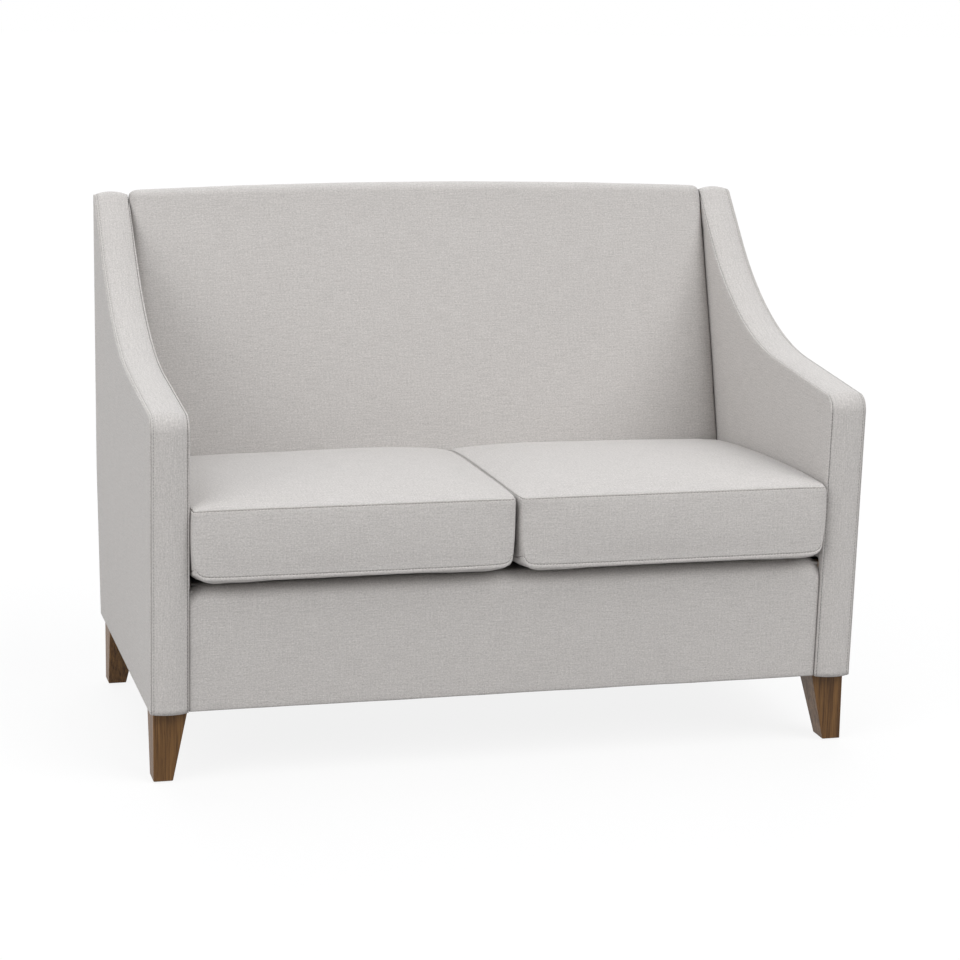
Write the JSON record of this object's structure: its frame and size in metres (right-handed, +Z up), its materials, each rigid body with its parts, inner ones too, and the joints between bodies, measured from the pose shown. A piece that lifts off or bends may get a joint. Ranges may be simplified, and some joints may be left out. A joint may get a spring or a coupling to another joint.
{
  "type": "loveseat sofa",
  "caption": "Mid-back upholstered loveseat with slim swooped arms, a tight crowned back, loose box seat cushions and square tapered timber legs.",
  "frame": {"origin": "on the floor, under the middle of the sofa's outline", "axes": "+Z up, -Y the way the sofa faces, +X to the viewer's right"},
  "size_m": [1.284, 0.77, 0.965],
  "materials": {
    "light_grey_weave": "matte linen-look weave, light warm grey",
    "deck_cloth": "matte lining cloth",
    "black_dust_cloth": "matte non-woven cloth",
    "elastic_webbing": "matte elastic webbing",
    "beech_frame": "sawn, unfinished",
    "walnut_stained_leg": "walnut stain under satin lacquer",
    "zinc_plated_steel": "zinc plated",
    "black_nylon": "moulded, matte"
  },
  "bodies": {
    "sofa_frame": {"arm_left_back_post": "beech_frame", "arm_left_band": "light_grey_weave", "arm_left_front_post": "beech_frame", "arm_left_inside": "light_grey_weave", "arm_left_outside": "light_grey_weave", "arm_left_side_rail": "beech_frame", "arm_left_swoop_rail": "beech_frame", "arm_right_back_post": "beech_frame", "arm_right_band": "light_grey_weave", "arm_right_front_post": "beech_frame", "arm_right_inside": "light_grey_weave", "arm_right_outside": "light_grey_weave", "arm_right_side_rail": "beech_frame", "arm_right_swoop_rail": "beech_frame", "back_bottom_rail": "beech_frame", "back_centre_upright": "beech_frame", "back_pad": "light_grey_weave", "back_seat_rail": "beech_frame", "back_strap_1": "elastic_webbing", "back_strap_2": "elastic_webbing", "back_strap_3": "elastic_webbing", "back_strap_4": "elastic_webbing", "back_tacking_rail": "beech_frame", "back_top_rail": "beech_frame", "base_pad": "light_grey_weave", "centre_stretcher": "beech_frame", "corner_block_front_left": "beech_frame", "corner_block_front_right": "beech_frame", "corner_block_rear_left": "beech_frame", "corner_block_rear_right": "beech_frame", "dust_cover": "black_dust_cloth", "front_rail": "beech_frame", "leg_bolt_front_left": "zinc_plated_steel", "leg_bolt_front_right": "zinc_plated_steel", "leg_bolt_rear_left": "zinc_plated_steel", "leg_bolt_rear_right": "zinc_plated_steel", "leg_front_left": "walnut_stained_leg", "leg_front_right": "walnut_stained_leg", "leg_glide_front_left": "black_nylon", "leg_glide_front_right": "black_nylon", "leg_glide_rear_left": "black_nylon", "leg_glide_rear_right": "black_nylon", "leg_rear_left": "walnut_stained_leg", "leg_rear_right": "walnut_stained_leg", "outside_back": "light_grey_weave", "seat_deck": "deck_cloth", "seat_spring_left_1": "zinc_plated_steel", "seat_spring_left_2": "zinc_plated_steel", "seat_spring_left_3": "zinc_plated_steel", "seat_spring_left_4": "zinc_plated_steel", "seat_spring_right_1": "zinc_plated_steel", "seat_spring_right_2": "zinc_plated_steel", "seat_spring_right_3": "zinc_plated_steel", "seat_spring_right_4": "zinc_plated_steel"},
    "cushion_left": {"seat_cushion_left": "light_grey_weave"},
    "cushion_right": {"seat_cushion_right": "light_grey_weave"}
  },
  "joints": [
    {"name": "cushion_left_lift", "type": "slide", "parent": "sofa_frame", "child": "cushion_left", "axis": [0, 0, 1], "range_m": [0, 0.2]},
    {"name": "cushion_right_lift", "type": "slide", "parent": "sofa_frame", "child": "cushion_right", "axis": [0, 0, 1], "range_m": [0, 0.2]}
  ]
}
